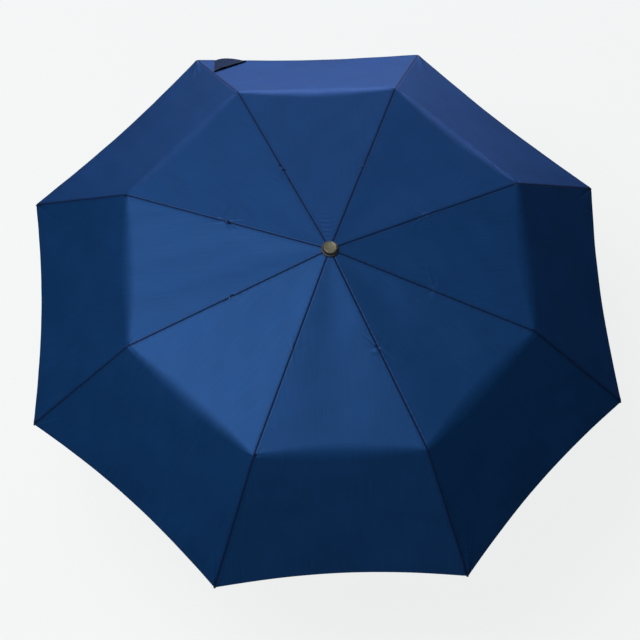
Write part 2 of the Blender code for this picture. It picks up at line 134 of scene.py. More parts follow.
def camera():
    """High above, a little to the handle button's side, with a long lens."""
    turn = (Matrix.Rotation(ROLL, 3, "Z") @ Matrix.Rotation(LEAN, 3, "Y")
            @ Matrix.Rotation(TILT, 3, "X"))
    radius = float(CLOTH_TIP[0])
    top = Vector((0, 0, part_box("ferrule_cap")[1].z))
    back = turn.transposed()
    data = bpy.data.cameras.new("camera")
    data.lens = LENS
    data.sensor_width = 36
    data.clip_end = 50
    thing = bpy.data.objects.new("camera", data)
    bpy.context.scene.collection.objects.link(thing)
    place = top - radius * (back @ Vector(CAP_IN_VIEW))
    thing.matrix_world = Matrix.Translation(place) @ back.to_4x4()
    bpy.context.scene.camera = thing


camera()


def linear(hex_colour):
    """A linear colour from an sRGB hex value."""
    parts = [int(hex_colour[i:i + 2], 16) / 255 for i in (0, 2, 4)]
    return tuple(p / 12.92 if p <= 0.04045 else ((p + 0.055) / 1.055) ** 2.4
                 for p in parts) + (1.0,)


def add(tree, kind, inputs=None, **settings):
    """A node with its settings; an input is a value, or another node's output to link."""
    node = tree.nodes.new(kind)
    for name, value in settings.items():
        setattr(node, name, value)
    for name, value in (inputs or {}).items():
        if isinstance(value, bpy.types.NodeSocket):
            tree.links.new(value, node.inputs[name])
        else:
            node.inputs[name].default_value = value
    return node


def new_material(name):
    """An empty node material with its shader and its tree."""
    material = bpy.data.materials.new(name)
    material.use_nodes = True
    tree = material.node_tree
    return material, tree, tree.nodes["Principled BSDF"]


def ramp(tree, value, stops):
    """A colour ramp over a value; stops are (position, hex colour)."""
    node = add(tree, "ShaderNodeValToRGB", {"Fac": value})
    while len(node.color_ramp.elements) < len(stops):
        node.color_ramp.elements.new(0.5)
    for element, (position, colour) in zip(node.color_ramp.elements, stops):
        element.position = position
        element.color = linear(colour)
    return node.outputs["Color"]


def look(name):
    """A new material, its tree, its shader and the object's own coordinates."""
    material, tree, shader = new_material(name)
    return material, tree, shader, add(tree, "ShaderNodeTexCoord").outputs["Object"]


def dress(tree, shader, values, **links):
    """Set a shader's inputs: values by their names, links by name with _ for a blank."""
    for key, value in values.items():
        shader.inputs[key].default_value = value
    for key, socket in links.items():
        tree.links.new(socket, shader.inputs[key.replace("_", " ")])


def bump(tree, height, distance):
    """A bump's normal from a height."""
    node = add(tree, "ShaderNodeBump", {"Height": height, "Distance": distance})
    return node.outputs["Normal"]


def varied(tree, value, middle, spread):
    """A roughness that varies about its middle with a value."""
    node = add(tree, "ShaderNodeMapRange", {
        "Value": value, "To Min": middle - spread, "To Max": middle + spread})
    return node.outputs["Result"]


def noise(tree, spot, size_mm, detail=2.0):
    """Noise whose features are about the given size."""
    node = add(tree, "ShaderNodeTexNoise", {
        "Vector": spot, "Scale": 1 / (size_mm * MM), "Detail": detail})
    return node.outputs["Fac"]


def area_light(name, size, power, place, aim, colour="ffffff"):
    """A soft box of the given size that looks at a point."""
    data = bpy.data.lights.new(name, "AREA")
    data.shape = "RECTANGLE"
    data.size = size[0]
    data.size_y = size[1]
    data.energy = power
    data.color = linear(colour)[:3]
    thing = bpy.data.objects.new(name, data)
    bpy.context.scene.collection.objects.link(thing)
    thing.location = place
    thing.rotation_euler = (Vector(aim) - Vector(place)).to_track_quat("-Z", "Y").to_euler()


REACH = 14.0                         # from the middle of the floor to its edge
WALL_HEIGHT = 4.0


def studio_surface(name, points, faces, material, flags):
    """A floor or a wall that glows, except on what is behind the flags."""
    mesh = bpy.data.meshes.new(name)
    mesh.from_pydata(points, [], faces)
    mesh.materials.append(material)
    thing = bpy.data.objects.new(name, mesh)
    bpy.context.scene.collection.objects.link(thing)
    thing.light_linking.receiver_collection = flags
    return thing


def studio():
    """A pale floor and backdrop that glow, a soft box above to the left, another behind and a weak
    fill in front. What is put in the collection that comes back gets no light from floor and
    backdrop, as if behind flags."""
    material, tree, shader, spot = look("matt_white_backdrop")
    cloud = add(tree, "ShaderNodeTexNoise", {"Vector": spot, "Scale": 0.8, "Detail": 1.0})
    dress(tree, shader, {"Roughness": 1.0, "Specular IOR Level": 0.0,
                         "Emission Color": linear("f2f4f3"), "Emission Strength": 0.92},
          Base_Color=ramp(tree, cloud.outputs["Fac"], [(0.3, "434444"), (0.7, "484949")]))
    flags = bpy.data.collections.new("cloth_out_of_floor_light")
    floor = studio_surface("floor", [(-REACH, -REACH, GROUND), (REACH, -REACH, GROUND),
                                     (REACH, REACH, GROUND), (-REACH, REACH, GROUND)],
                           [(0, 1, 2, 3)], material, flags)
    sides = 48
    turns = [2 * pi * k / sides for k in range(sides)]
    backdrop = studio_surface("backdrop", [(cos(t) * REACH, sin(t) * REACH, z)
                                           for z in (GROUND, WALL_HEIGHT) for t in turns],
                              [(k, (k + 1) % sides, sides + (k + 1) % sides, sides + k)
                               for k in range(sides)], material, flags)
    middle = (0, 0, 0.45)
    area_light("key_soft_box", (1.7, 1.7), 110, (-1.0, 0.14, 2.8), middle)
    area_light("back_soft_box", (3.2, 1.2), 152, (0.35, 3.4, 0.6), middle, "c8dcff")
    area_light("front_fill", (3.2, 1.2), 9, (0.9, -3.2, 0.5), middle)
    world = bpy.data.worlds.new("studio")
    world.use_nodes = True
    sky = world.node_tree.nodes["Background"]
    sky.inputs["Color"].default_value = linear("f1f3f6")
    sky.inputs["Strength"].default_value = 0.15
    bpy.context.scene.world = world
    bpy.context.scene.view_settings.view_transform = "Standard"
    return flags


# ---- materials ------------------------------------------------------------------------------
def pongee():
    """Pongee: plain-woven polyester, calendered and dyed navy. A fine even grain, a soft sheen
    towards the edges and faint streaks along the warp where the yarn's thickness varies."""
    material, tree, shader = new_material("pongee_polyester_woven")
    cloth = add(tree, "ShaderNodeUVMap", uv_map="cloth").outputs["UV"]
    # real yarns are 0.25 mm apart; drawn at 0.9 mm so that the grain shows
    yarns = []
    for direction in ("X", "Y"):
        wave = add(tree, "ShaderNodeTexWave", {"Vector": cloth, "Scale": 0.314 / (0.9 * MM)},
                   bands_direction=direction)
        yarns.append(wave.outputs["Fac"])
    weave = add(tree, "ShaderNodeMath", {0: yarns[0], 1: yarns[1]}, operation="MULTIPLY")
    stretch = add(tree, "ShaderNodeMapping", {
        "Vector": cloth, "Scale": (1 / (2.5 * MM), 1 / (60 * MM), 1)})
    streak = add(tree, "ShaderNodeTexNoise", {
        "Vector": stretch.outputs["Vector"], "Scale": 1.0, "Detail": 2.0})
    cloud = noise(tree, cloth, 90)
    tone = add(tree, "ShaderNodeMath", {0: streak.outputs["Fac"], 1: cloud}, operation="ADD")
    tone = add(tree, "ShaderNodeMath", {0: tone.outputs[0], 1: 0.5}, operation="MULTIPLY")
    base = ramp(tree, tone.outputs[0], [(0.3, "06294f"), (0.7, "09305b")])
    # painted shade: the base colour is darkened towards 020c22 along the seams and the hem's fold
    seam = add(tree, "ShaderNodeAttribute", attribute_name="painted_seam_shade").outputs["Fac"]
    dark = add(tree, "ShaderNodeMix", {"Factor": seam, "A": base, "B": linear("020c22")},
               data_type="RGBA")
    grain = add(tree, "ShaderNodeBump", {
        "Height": weave.outputs[0], "Strength": 0.35, "Distance": 0.06 * MM})
    pucker = add(tree, "ShaderNodeBump", {"Height": cloud, "Strength": 0.3, "Distance": 1.5 * MM,
                                          "Normal": grain.outputs["Normal"]})
    dress(tree, shader, {"Metallic": 0.45, "Specular IOR Level": 0.28,
                         "Specular Tint": linear("b4c4ee"), "Sheen Weight": 0.06,
                         "Sheen Roughness": 0.2, "Sheen Tint": linear("6c98dc")},
          Base_Color=dark.outputs["Result"], Roughness=varied(tree, cloud, 0.54, 0.04),
          Normal=pucker.outputs["Normal"])
    return material


def seam_tape():
    """The raw edges of two gores rolled together and sewn: the same cloth, its colour darkened as
    painted shade of its folds and groove.
    """
    material, tree, shader, spot = look("felled_seam_polyester")
    grain = noise(tree, spot, 1.2, 3.0)
    dress(tree, shader, {"Roughness": 0.85, "Specular IOR Level": 0.05},
          Base_Color=ramp(tree, grain, [(0.3, "020a20"), (0.7, "04122f")]),
          Normal=bump(tree, grain, 0.1 * MM))
    return material


def sewing_thread():
    """Spun polyester thread, a matt dark blue with a fine twist."""
    material, tree, shader, spot = look("spun_polyester_thread")
    twist = add(tree, "ShaderNodeTexWave", {"Vector": spot, "Scale": 0.314 / (0.5 * MM)},
                bands_direction="DIAGONAL")
    dress(tree, shader, {"Roughness": 0.8, "Specular IOR Level": 0.2},
          Base_Color=ramp(tree, twist.outputs["Fac"], [(0.2, "06122e"), (0.8, "0c1f48")]))
    return material


def strap_cloth(name="strap_polyester_double_sewn", low="040f27", high="0b1d3e"):
    """The closing strap's cloth: two layers of the canopy's sewn together, duller and denser."""
    material, tree, shader, spot = look(name)
    grain = noise(tree, spot, 1.5, 3.0)
    cloud = noise(tree, spot, 14)
    mixed = add(tree, "ShaderNodeMath", {0: grain, 1: cloud}, operation="MULTIPLY")
    dress(tree, shader, {"Roughness": 0.62, "Specular IOR Level": 0.05},
          Base_Color=ramp(tree, mixed.outputs[0], [(0.15, low), (0.4, high)]),
          Normal=bump(tree, grain, 0.15 * MM))
    return material


def metal(name, low, high, roughness, grain_mm, stretch=(1, 1, 1), bump_mm=0.01):
    """A metal whose colour and roughness vary with a stretched grain."""
    material, tree, shader, spot = look(name)
    turned_spot = add(tree, "ShaderNodeMapping", {"Vector": spot, "Scale": stretch})
    grain = noise(tree, turned_spot.outputs["Vector"], grain_mm, 4.0)
    dress(tree, shader, {"Metallic": 1.0}, Base_Color=ramp(tree, grain, [(0.3, low), (0.7, high)]),
          Roughness=varied(tree, grain, roughness, 0.07), Normal=bump(tree, grain, bump_mm * MM))
    return material


def plastic(name, low, high, roughness, grain_mm, bump_mm):
    """A moulded plastic with the fine spark-eroded texture of its mould."""
    material, tree, shader, spot = look(name)
    wear = noise(tree, spot, 12, 3.0)
    dress(tree, shader, {}, Base_Color=ramp(tree, wear, [(0.35, low), (0.65, high)]),
          Roughness=varied(tree, wear, roughness, 0.06),
          Normal=bump(tree, noise(tree, spot, grain_mm), bump_mm * MM))
    return material


PONGEE = pongee()
SEAM_TAPE = seam_tape()
THREAD = sewing_thread()
STRAP_CLOTH = strap_cloth()
# the strap's elastic piping, knitted: nearly black
STRAP_EDGE = strap_cloth("elastic_piping_knitted", "01030a", "030815")
# zinc-plated strip, rolled to a channel: a bluish grey with fine rolling lines
ZINC_STEEL = metal("steel_zinc_plated_rolled", "8d9196", "b3b7bb", 0.34, 1.6)
# drawn spring wire, oiled: darker and smoother than the strip
SPRING_STEEL = metal("spring_steel_drawn", "6f7276", "8c8f92", 0.3, 0.8)
# drawn aluminium tube, satin anodised: pale, with faint lines along the draw
ALUMINIUM = metal("aluminium_drawn_anodised", "b9bcc0", "d0d2d4", 0.3, 1.2, (1, 1, 0.05))
# die-cast disc with a spun gunmetal plating: warm dark grey with a soft gloss
GUNMETAL = metal("zinc_cast_gunmetal_plated", "4e4c40", "605d4f", 0.42, 2.2, bump_mm=0.03)
# pultruded glass fibre with black resin: lines along the rod
GLASS_FIBRE = plastic("glass_fibre_pultruded", "121214", "1c1c1f", 0.42, 0.8, 0.02)
# nylon from a mould, black: slightly mottled, low gloss
NYLON = plastic("nylon_black_moulded", "0b0b0d", "141417", 0.42, 0.7, 0.02)
# rim of the cap: satin ABS, a broad dim highlight
RIM_PLASTIC = plastic("abs_black_satin", "020203", "050507", 0.66, 2.0, 0.01)
# soft-touch paint over ABS: velvety, rubs a little glossier with use
SOFT_TOUCH = plastic("abs_soft_touch_painted", "0f0f12", "19191d", 0.68, 0.5, 0.03)
# button: ABS, fine matt texture
BUTTON = plastic("abs_grey_textured", "4a4b4e", "5a5b5f", 0.45, 0.6, 0.02)
FLAGGED = studio()


# ---- meshes ---------------------------------------------------------------------------------
def add_piece(name, mesh, material, body, smooth=True):
    """A finished mesh as a piece that rides on a body."""
    if material is not None:
        mesh.materials.append(material)
    if smooth:
        mesh.shade_smooth()
    thing = bpy.data.objects.new(name, mesh)
    bpy.context.scene.collection.objects.link(thing)
    if body:
        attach(thing, body)
    return thing


def profile(u, fillet):
    """(radius, height) of the cloth over a rib at the path length u, rounded at the knee."""
    u = np.asarray(u, float)[..., None]
    fillet = np.asarray(fillet, float)[..., None]
    inner_way = along(DROOP)
    turn = np.clip((u - U_KNEE + fillet) / (2 * fillet), 0, 1)
    curve = ((1 - turn) ** 2 * (CLOTH_KNEE - fillet * inner_way) + 2 * turn * (1 - turn) * CLOTH_KNEE
             + turn ** 2 * (CLOTH_KNEE + fillet * OUTER_ALONG))
    inner = CLOTH_START + u * inner_way
    outer = CLOTH_KNEE + (u - U_KNEE) * OUTER_ALONG
    return np.where(u < U_KNEE - fillet, inner, np.where(u > U_KNEE + fillet, outer, curve))


def smooth_step(x, low, high):
    """0 below low, 1 above high, smooth between."""
    t = np.clip((x - low) / (high - low), 0, 1)
    return t * t * (3 - 2 * t)


def crease(y, v, bearing, length, width, height, start=0.0):
    """A ridge that leaves (0, 0) at a bearing from the seam's line, y across and v along it."""
    run = y * sin(bearing) + v * cos(bearing)
    side = y * cos(bearing) - v * sin(bearing)
    fade = smooth_step(run, start, start + 3 * MM) * np.exp(-(np.maximum(run, 0) / length) ** 2)
    return height * fade * np.exp(-(side / width) ** 2)


def rib_wrinkles(rib, hand, y, u):
    """Small wrinkles beside one seam. hand is 1 on the rib's anticlockwise side, -1 on the other."""
    rng = np.random.default_rng(100 * rib + (1 if hand > 0 else 0))
    phase = rng.uniform(0, 2 * pi, 3)
    pucker = (np.sin(2 * pi * u / (9.5 * MM) + phase[0])
              + 0.6 * np.sin(2 * pi * u / (15.5 * MM) + phase[1]))
    height = 0.1 * MM * pucker * np.exp(-y / (5 * MM))
    for bearing in (15, 62, 112, 158):
        height = height + crease(y, u - U_FIRST, radians(bearing + rng.uniform(-9, 9)),
                                 rng.uniform(10, 24) * MM, rng.uniform(1.5, 2.5) * MM,
                                 rng.uniform(-0.6, 0.75) * MM)
    for bearing in (40, 78, 140):
        height = height + crease(y, u - U_KNEE, radians(bearing + rng.uniform(-10, 10)),
                                 rng.uniform(10, 20) * MM, rng.uniform(2.0, 3.4) * MM,
                                 rng.uniform(-0.5, 0.5) * MM)
    for bearing in (158, 149):
        height = height + crease(y, u - U_TIP, radians(bearing + rng.uniform(-4, 4)),
                                 rng.uniform(35, 60) * MM, rng.uniform(2.6, 4.0) * MM,
                                 rng.uniform(-0.9, 0.9) * MM)
    return height


def own_wrinkles(gore, s, y, u):
    """The few longer wrinkles that only one gore has."""
    if gore == 2:
        window = np.exp(-((s - 0.62) / 0.24) ** 2) * smooth_step(u, 4 * MM, 12 * MM)
        window = window * (1 - smooth_step(u, 40 * MM, 75 * MM))
        return 0.36 * MM * window * np.sin(2 * pi * (u + 0.2 * y) / (9.5 * MM))
    if gore == 3:
        near = np.where(s > 0.5, 1.0, 0.0)
        height = 0
        for shift, bearing, tall in ((-9, 58, 0.7), (2, 66, -0.55), (12, 74, 0.6), (22, 80, -0.4)):
            height = height + near * crease(y, u - U_FIRST - shift * MM, radians(bearing), 42 * MM,
                                            3.2 * MM, tall * MM, 2 * MM)
        return height
    if gore == 8:
        near = np.where(s < 0.5, 1.0, 0.0)
        return near * crease(y, u - U_FIRST, radians(100), 30 * MM, 3.0 * MM, 0.5 * MM)
    return 0 * y


def relief(gore, s, u):
    """How far the cloth stands off its smooth form: seam grooves, sag, puckers and wrinkles."""
    radius = profile(u, np.full(np.shape(u), FILLET_RIB))[..., 0]
    chord = 2 * radius * sin(RIB_STEP / 2)
    left = s * chord
    right = (1 - s) * chord
    y = np.minimum(left, right)
    groove = -0.55 * MM * np.exp(-(y / (1.5 * MM)) ** 2)
    sag = -1.4 * MM * np.sin(pi * s) ** 2 * smooth_step(u, 0, 120 * MM)
    rng = np.random.default_rng(gore)
    waves = 0
    for length in (46 * MM, 71 * MM, 104 * MM):
        heading = rng.uniform(0, pi)
        phase = rng.uniform(0, 2 * pi)
        run = (s - 0.5) * chord * cos(heading) + u * sin(heading)
        waves = waves + np.sin(2 * pi * run / length + phase)
    rolling = 0.08 * MM * waves * smooth_step(y, 0, 25 * MM)
    near_left = rib_wrinkles(gore, 1, left, u)
    near_right = rib_wrinkles(gore % RIB_COUNT + 1, -1, right, u)
    return groove + sag + rolling + near_left + near_right + own_wrinkles(gore, s, y, u)


def smooth_surface(gore, s, u):
    """Points of the gore without its wrinkles."""
    spot = profile(u, FILLET_RIB + (FILLET_MIDDLE - FILLET_RIB) * np.sin(pi * s))
    near = rib_angle(gore)
    far = rib_angle(gore + 1)
    radius = spot[..., 0]
    x = radius * ((1 - s) * cos(near) + s * cos(far))
    y = radius * ((1 - s) * sin(near) + s * sin(far))
    return np.stack([x, y, spot[..., 1]], axis=-1)


def normals_of(surface, gore, s, u, ds, du):
    """Unit normals by small steps, pointing up and out."""
    across_s = surface(gore, s + ds, u) - surface(gore, s - ds, u)
    along_u = surface(gore, s, u + du) - surface(gore, s, u - du)
    normal = np.cross(along_u, across_s)
    return normal / np.maximum(np.linalg.norm(normal, axis=-1, keepdims=True), 1e-12)


def cloth_surface(gore, s, u):
    """Points of the gore's middle surface with its wrinkles."""
    push = normals_of(smooth_surface, gore, s, u, 0.002, 0.3 * MM)
    return smooth_surface(gore, s, u) + relief(gore, s, u)[..., None] * push


# ---- the canopy's cloth ---------------------------------------------------------------------
# Each gore is cut, for folding only, into two halves of four pieces: one over each rib section and
# a wedge at the knee. At rest the pieces meet edge to edge and share the surface's own normals.
def fold_lines(share):
    """Path lengths of the lines where the cloth folds, at a share of 0 to 0.5 from the rib."""
    shrink = 1 - share * NARROWING
    r0, z0 = CLOTH_START
    level = along(DROOP) @ CLOTH_FIRST
    first = ((level - cos(DROOP) * shrink * r0 + sin(DROOP) * z0)
             / (cos(DROOP) ** 2 * shrink + sin(DROOP) ** 2))
    rk = CLOTH_KNEE[0]
    wedge = (cos(BISECTOR) * rk * (1 - shrink)
             / (cos(BISECTOR) * shrink * cos(CLOTH_SLOPE) + sin(BISECTOR) * sin(CLOTH_SLOPE)))
    hollow = HEM_SAG * 4 * share * (1 - share) / SLOPE_LENGTH
    hem = U_KNEE + OUTER_RUN * (1 - hollow)
    return [0 * share, first, U_KNEE + 0 * share, U_KNEE + wedge, hem]


SECTIONS = [
    # name, body, rows, grading: 1 is even, above 1 packs rows towards the end, below 0 the start
    ("top", "top_rib", 60, 1.0),
    ("middle", "middle_rib", 46, 1.6),
    ("knee", "middle_rib", 14, 1.0),
    ("outer", "outer_rib", 56, -1.5),
]
COLUMNS = 38


def graded(count, grading):
    """count + 1 shares from 0 to 1, packed towards one end."""
    share = np.linspace(0, 1, count + 1)
    if grading < 0:
        return share ** (-grading)
    return 1 - (1 - share) ** grading


def sheet_mesh(name, middle, normal, thick, flat, shade):
    """A closed thin sheet round a grid of middle points, with the surface's own normals on it.

    Grid points that coincide, as where a wedge runs out to nothing, become one point."""
    rows, columns = middle.shape[:2]
    half = thick[..., None] / 2
    top = (middle + normal * CLOTH / 2).reshape(-1, 3)
    bottom = (middle + normal * (CLOTH / 2) - normal * 2 * half).reshape(-1, 3)
    count = rows * columns
    ident = np.arange(count).reshape(rows, columns)
    for column in (0, columns - 1):
        run = np.linalg.norm(middle[-1, column] - middle[0, column])
        if run < 1e-6:
            ident[:, column] = ident[0, column]
    faces = []
    for i in range(rows - 1):
        near, far = ident[i], ident[i + 1]
        for j in range(columns - 1):
            ring = [near[j], far[j], far[j + 1], near[j + 1]]
            ring = [p for k, p in enumerate(ring) if p != ring[k - 1]]
            faces.append(ring)
    down, aside = rows // 2, columns // 2
    flip = np.dot(np.cross(middle[-1, aside] - middle[0, aside], middle[down, -1] - middle[down, 0]),
                  normal[down, aside]) < 0
    if flip:
        faces = [ring[::-1] for ring in faces]
    edge_count = {}
    for ring in faces:
        for a, b in zip(ring, ring[1:] + ring[:1]):
            edge_count[(a, b)] = 1
    walls = [(a, b) for a, b in edge_count if (b, a) not in edge_count]
    under = [[p + count for p in reversed(ring)] for ring in faces]
    sides = [[b, a, a + count, b + count] for a, b in walls]
    used = np.unique(ident)
    renumber = np.full(2 * count, -1)
    renumber[used] = np.arange(len(used))
    renumber[used + count] = np.arange(len(used)) + len(used)
    every = [[int(renumber[p]) for p in ring] for ring in faces + under + sides]
    points = np.concatenate([top[used], bottom[used]])
    mesh = bpy.data.meshes.new(name)
    mesh.from_pydata(points.tolist(), [], every)
    loops = np.empty(len(mesh.loops), np.int32)
    mesh.loops.foreach_get("vertex_index", loops)
    both = np.concatenate([flat.reshape(-1, 2)[used]] * 2)
    layer = mesh.uv_layers.new(name="cloth")
    layer.data.foreach_set("uv", both[loops].astype(np.float32).ravel())
    # carries the painted shade of the seams and the hem's fold to the cloth's material
    tint = mesh.attributes.new("painted_seam_shade", "FLOAT", "POINT")
    tint.data.foreach_set("value", np.concatenate([shade.reshape(-1)[used]] * 2).astype(np.float32))
    mesh.shade_smooth()
    outward = np.concatenate([normal.reshape(-1, 3)[used], -normal.reshape(-1, 3)[used]])[loops]
    wall_loops = sum(len(ring) for ring in faces) + sum(len(ring) for ring in under)
    outward[wall_loops:] = 0
    mesh.normals_split_custom_set(outward.tolist())
    return mesh


def sheet_area(middle):
    """Area of a grid of points."""
    a = middle[1:, 1:] - middle[:-1, :-1]
    b = middle[1:, :-1] - middle[:-1, 1:]
    return float(np.linalg.norm(np.cross(a, b), axis=-1).sum() / 2)


def in_space(rib, flat_vector):
    """A (radius, height) vector in the plane of a rib, as x, y, z."""
    turn = rib_angle(rib)
    return np.array((flat_vector[0] * cos(turn), flat_vector[0] * sin(turn), flat_vector[1]))


def fold_away(thing):
    """Give a piece its own copy of its mesh."""
    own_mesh(thing)


def canopy_piece(gore, hand, section_index):
    """One piece of a half gore: hand 1 beside rib number gore, -1 beside the next rib."""
    section, body, rows, grading = SECTIONS[section_index]
    share = 0.5 * np.linspace(0, 1, COLUMNS + 1) ** 1.5
    lines = fold_lines(share)
    near, far = lines[section_index], lines[section_index + 1]
    steps = graded(rows, grading)[:, None]
    u = near + (far - near) * steps
    s = np.broadcast_to(share if hand > 0 else 1 - share, u.shape)
    middle = cloth_surface(gore, s, u)
    normal = normals_of(cloth_surface, gore, s, u, 0.0008, 0.25 * MM)
    radius = profile(u, np.full(u.shape, FILLET_RIB))[..., 0]
    chord = 2 * radius * sin(RIB_STEP / 2)
    y = np.broadcast_to(share, u.shape) * chord
    to_hem = lines[4] - u
    thick = CLOTH * (1 + 1.6 * (1 - smooth_step(to_hem, HEM_WIDTH - 0.8 * MM, HEM_WIDTH)))
    # painted shade: the cloth's colour is darkened in and beside each seam's groove and along the
    # hem's fold line, where shade falls
    shade = 0.85 * np.exp(-(y / (1.1 * MM)) ** 2) + 0.25 * np.exp(-(y / (4.5 * MM)) ** 2)
    shade = shade + 0.35 * np.exp(-((to_hem - HEM_WIDTH) / (0.9 * MM)) ** 2)
    flat = np.stack([(s - 0.5) * chord, u + 0 * s], axis=-1)
    name = f"canopy_{gore}_{'a' if hand > 0 else 'b'}_{section}"
    rib = gore if hand > 0 else gore % RIB_COUNT + 1
    mesh = sheet_mesh(name, middle, normal, thick, flat, np.clip(shade, 0, 1))
    thing = add_piece(name, mesh, PONGEE, f"{body}_{rib}", smooth=False)
    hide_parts(f"canopy_panel_{gore}")
    width = float(np.ptp(flat[..., 0]))
    length = float(np.ptp(flat[..., 1]))
    area = min(max(sheet_area(middle), 0.31 * width * length), width * length)
    fold_away(thing)
    return thing, (width, length), area


def canopy():
    """Sixteen half gores."""
    made = []
    for gore in range(1, RIB_COUNT + 1):
        for hand in (1, -1):
            for index in range(len(SECTIONS)):
                made.append(canopy_piece(gore, hand, index))
    return made


cloth_pieces = canopy()
for piece, flat_size, cut_area in cloth_pieces:
    FLAGGED.objects.link(piece)


# ---- seams, stitches and knots --------------------------------------------------------------
def rib_frame(u):
    """Point, tangent and normal of the cloth's line over a rib, each as (radius, height)."""
    here = profile(u, np.float64(FILLET_RIB))
    ahead = profile(u + 0.2 * MM, np.float64(FILLET_RIB))
    behind = profile(u - 0.2 * MM, np.float64(FILLET_RIB))
    way = (ahead - behind) / np.linalg.norm(ahead - behind)
    return here, way, np.array((-way[1], way[0]))


def over_rib(rib, u, y, lift):
    """A point beside the seam: y across it, following the gable of the two gores, lifted off."""
    here, way, normal = rib_frame(u)
    fall = sin(RIB_STEP / 2) * -way[1]
    turn = rib_angle(rib)
    spot = here + normal * (lift - fall * abs(y))
    return Vector((spot[0] * cos(turn) - y * sin(turn), spot[0] * sin(turn) + y * cos(turn),
                   spot[1]))


# outline of the seam across: a low rolled ridge outside, the flat allowance inside (mm)
SEAM_OUTLINE = [(-3.0, -0.26), (-1.5, -0.36), (-0.6, -0.6), (-0.52, -0.24), (-0.26, -0.08),
                (0.0, -0.04)]
SEAM_OUTLINE += [(-y, h) for y, h in SEAM_OUTLINE[-2::-1]]
SEAM_OUTLINE += [(3.0, -0.58), (1.5, -0.68), (0.0, -0.76), (-1.5, -0.68), (-3.0, -0.58)]
SEAM_RUNS = {
    "top": (6 * MM, U_FIRST - 0.2 * MM, "top_rib"),
    "middle": (U_FIRST + 0.2 * MM, U_KNEE - 9.1 * MM, "middle_rib"),
    "knee": (U_KNEE - 9 * MM, U_KNEE + 9 * MM, "middle_rib"),
    "outer": (U_KNEE + 9.1 * MM, U_TIP - 1.5 * MM, "outer_rib"),
}


def swept(name, rings):
    """A closed skin through rings of points."""
    count = len(rings[0])
    points = [tuple(p) for ring in rings for p in ring]
    faces = []
    for i in range(len(rings) - 1):
        for j in range(count):
            k = (j + 1) % count
            faces.append((i * count + j, i * count + k, (i + 1) * count + k, (i + 1) * count + j))
    faces.append(tuple(range(count - 1, -1, -1)))
    faces.append(tuple((len(rings) - 1) * count + j for j in range(count)))
    mesh = bpy.data.meshes.new(name)
    mesh.from_pydata(points, [], faces)
    tidy_mesh(mesh)
    return mesh


def tidy_mesh(mesh):
    """Merge doubled points and turn the faces outwards."""
    bm = bmesh.new()
    bm.from_mesh(mesh)
    bmesh.ops.remove_doubles(bm, verts=bm.verts, dist=0.001 * MM)
    bmesh.ops.recalc_face_normals(bm, faces=bm.faces)
    bm.to_mesh(mesh)
    bm.free()


def seam(rib, section):
    """One stretch of the seam over a rib."""
    start, end, body = SEAM_RUNS[section]
    count = max(8, int((end - start) / ((1.5 if section == "knee" else 4) * MM)))
    rings = [[over_rib(rib, u, y * MM, h * MM) for y, h in SEAM_OUTLINE]
             for u in np.linspace(start, end, count)]
    mesh = swept(f"seam_{rib}_{section}", rings)
    mesh.set_sharp_from_angle(angle=radians(50))
    thing = add_piece(f"seam_{rib}_{section}", mesh, SEAM_TAPE,
                      None if section == "knee" else f"{body}_{rib}")
    if section == "knee":
        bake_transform(thing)
    return thing


def nest(thing, section):
    """Give a seam piece of the two inner sections its own copy of its mesh."""
    if section in ("top", "middle"):
        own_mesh(thing)


def stitch_tree():
    """Geometry nodes: a bead of thread at every stitch along a line."""
    tree = bpy.data.node_groups.new("stitch_line", "GeometryNodeTree")
    face = tree.interface
    face.new_socket("Line", in_out="INPUT", socket_type="NodeSocketGeometry")
    inputs = {}
    for name, value in (("Spacing", 3 * MM), ("Length", 2.3 * MM), ("Thread", 0.24 * MM)):
        item = face.new_socket(name, in_out="INPUT", socket_type="NodeSocketFloat")
        item.default_value = value
        inputs[name] = item.identifier
    item = face.new_socket("Material", in_out="INPUT", socket_type="NodeSocketMaterial")
    inputs["Material"] = item.identifier
    face.new_socket("Stitches", in_out="OUTPUT", socket_type="NodeSocketGeometry")
    given = add(tree, "NodeGroupInput").outputs
    curve = add(tree, "GeometryNodeMeshToCurve", {"Mesh": given["Line"]})
    beads = add(tree, "GeometryNodeResampleCurve", {
        "Curve": curve.outputs["Curve"], "Length": given["Spacing"]}, mode="LENGTH")
    bead = add(tree, "GeometryNodeMeshUVSphere", {"Segments": 6, "Rings": 4, "Radius": 0.5})
    size = add(tree, "ShaderNodeCombineXYZ", {
        "X": given["Thread"], "Y": given["Thread"], "Z": given["Length"]})
    shaped = add(tree, "GeometryNodeTransform", {
        "Geometry": bead.outputs["Mesh"], "Scale": size.outputs[0]})
    way = add(tree, "GeometryNodeInputTangent")
    turn = add(tree, "FunctionNodeAlignRotationToVector", {"Vector": way.outputs["Tangent"]},
               axis="Z")
    placed = add(tree, "GeometryNodeInstanceOnPoints", {
        "Points": beads.outputs["Curve"], "Instance": shaped.outputs["Geometry"],
        "Rotation": turn.outputs["Rotation"]})
    real = add(tree, "GeometryNodeRealizeInstances", {"Geometry": placed.outputs["Instances"]})
    smooth = add(tree, "GeometryNodeSetShadeSmooth", {"Geometry": real.outputs["Geometry"]})
    painted = add(tree, "GeometryNodeSetMaterial", {
        "Geometry": smooth.outputs["Geometry"], "Material": given["Material"]})
    end = add(tree, "NodeGroupOutput")
    tree.links.new(painted.outputs["Geometry"], end.inputs["Stitches"])
    return tree, inputs


STITCH_TREE, STITCH_INPUTS = stitch_tree()


